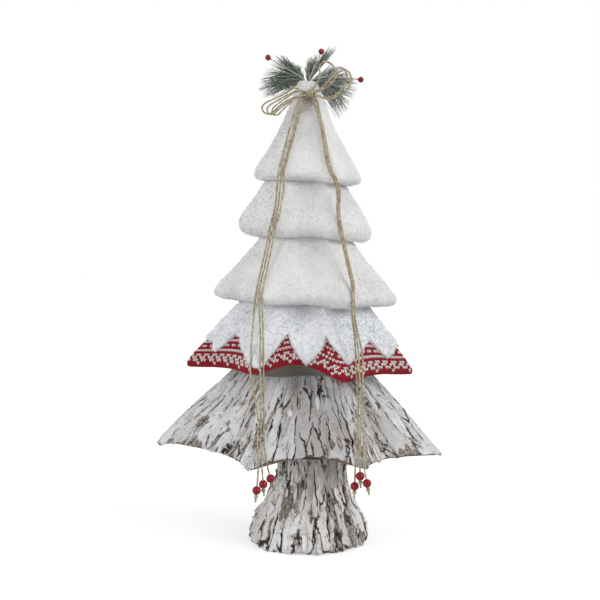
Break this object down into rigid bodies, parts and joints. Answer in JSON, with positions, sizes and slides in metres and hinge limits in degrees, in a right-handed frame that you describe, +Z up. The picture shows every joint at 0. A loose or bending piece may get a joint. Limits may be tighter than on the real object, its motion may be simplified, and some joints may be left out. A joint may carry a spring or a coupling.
{
  "type": "christmas tree decoration",
  "caption": "Tabletop tree of stacked plush, knitted and birch bark tiers on a bark trunk, with a beaded jute bow and pine sprigs at the top.",
  "frame": {"origin": "centre of the base's underside, on the table", "axes": "+Z up the tree, -Y towards the front with the bow, +X to the viewer's right"},
  "size_m": [0.3613, 0.2369, 0.6087],
  "materials": {
    "board": "pressed board, matt",
    "dowel": "plain turned wood",
    "foam": "white bead foam, matt",
    "plush": "short off-white pile",
    "snow": "fluffy white fleece",
    "knit": "red and cream knitted wool",
    "skirt_bark": "whitewashed birch bark, matt",
    "trunk_bark": "grey and white birch bark, matt",
    "jute": "plied natural jute",
    "bead": "wood with glossy red lacquer",
    "berry": "dark red, semi-gloss",
    "twig": "frosted brown stem",
    "pine": "frosted dark green needles",
    "steel": "plain wire"
  },
  "bodies": {
    "tree": {"base_disc": "board", "centre_dowel": "dowel", "trunk_core": "foam", "skirt_core": "foam", "knit_tier_core": "foam", "upper_core": "foam", "knit_cover": "knit", "snow_drape": "snow", "bow_knot": "jute", "bow_pin": "steel", "trunk_bark_1": "trunk_bark", "skirt_bark_1": "skirt_bark", "trunk_bark_2": "trunk_bark", "skirt_bark_2": "skirt_bark", "trunk_bark_3": "trunk_bark", "skirt_bark_3": "skirt_bark", "trunk_bark_4": "trunk_bark", "skirt_bark_4": "skirt_bark", "trunk_bark_5": "trunk_bark", "skirt_bark_5": "skirt_bark", "trunk_bark_6": "trunk_bark", "skirt_bark_6": "skirt_bark", "plush_cover_1": "plush", "plush_cover_2": "plush", "plush_cover_3": "plush", "twine_tail_left_1": "jute", "bow_loop_left_1": "jute", "twine_tail_left_2": "jute", "bow_loop_left_2": "jute", "twine_tail_left_3": "jute", "bow_loop_left_3": "jute", "twine_tail_right_1": "jute", "bow_loop_right_1": "jute", "twine_tail_right_2": "jute", "bow_loop_right_2": "jute", "twine_tail_right_3": "jute", "bow_loop_right_3": "jute", "pine_sprig_left": "pine", "berry_stem_left": "twig", "berry_left": "berry", "pine_sprig_top": "pine", "berry_stem_top": "twig", "berry_top": "berry", "pine_sprig_right": "pine", "berry_stem_right": "twig", "berry_right": "berry"},
    "left_beads": {"twine_end_left_1": "jute", "bead_left_1": "bead", "twine_end_left_2": "jute", "bead_left_2": "bead", "twine_end_left_3": "jute", "bead_left_3": "bead"},
    "right_beads": {"twine_end_right_1": "jute", "bead_right_1": "bead", "twine_end_right_2": "jute", "bead_right_2": "bead", "twine_end_right_3": "jute", "bead_right_3": "bead"}
  },
  "joints": [
    {"name": "left_beads_swing", "type": "hinge", "parent": "tree", "child": "left_beads", "pos_m": [-0.053, -0.1083, 0.1125], "axis": [0.9117, 0.4108, 0], "range_deg": [-75, 20]},
    {"name": "right_beads_swing", "type": "hinge", "parent": "tree", "child": "right_beads", "pos_m": [0.0588, -0.1123, 0.1114], "axis": [0.8875, -0.4608, 0], "range_deg": [-75, 20]}
  ]
}
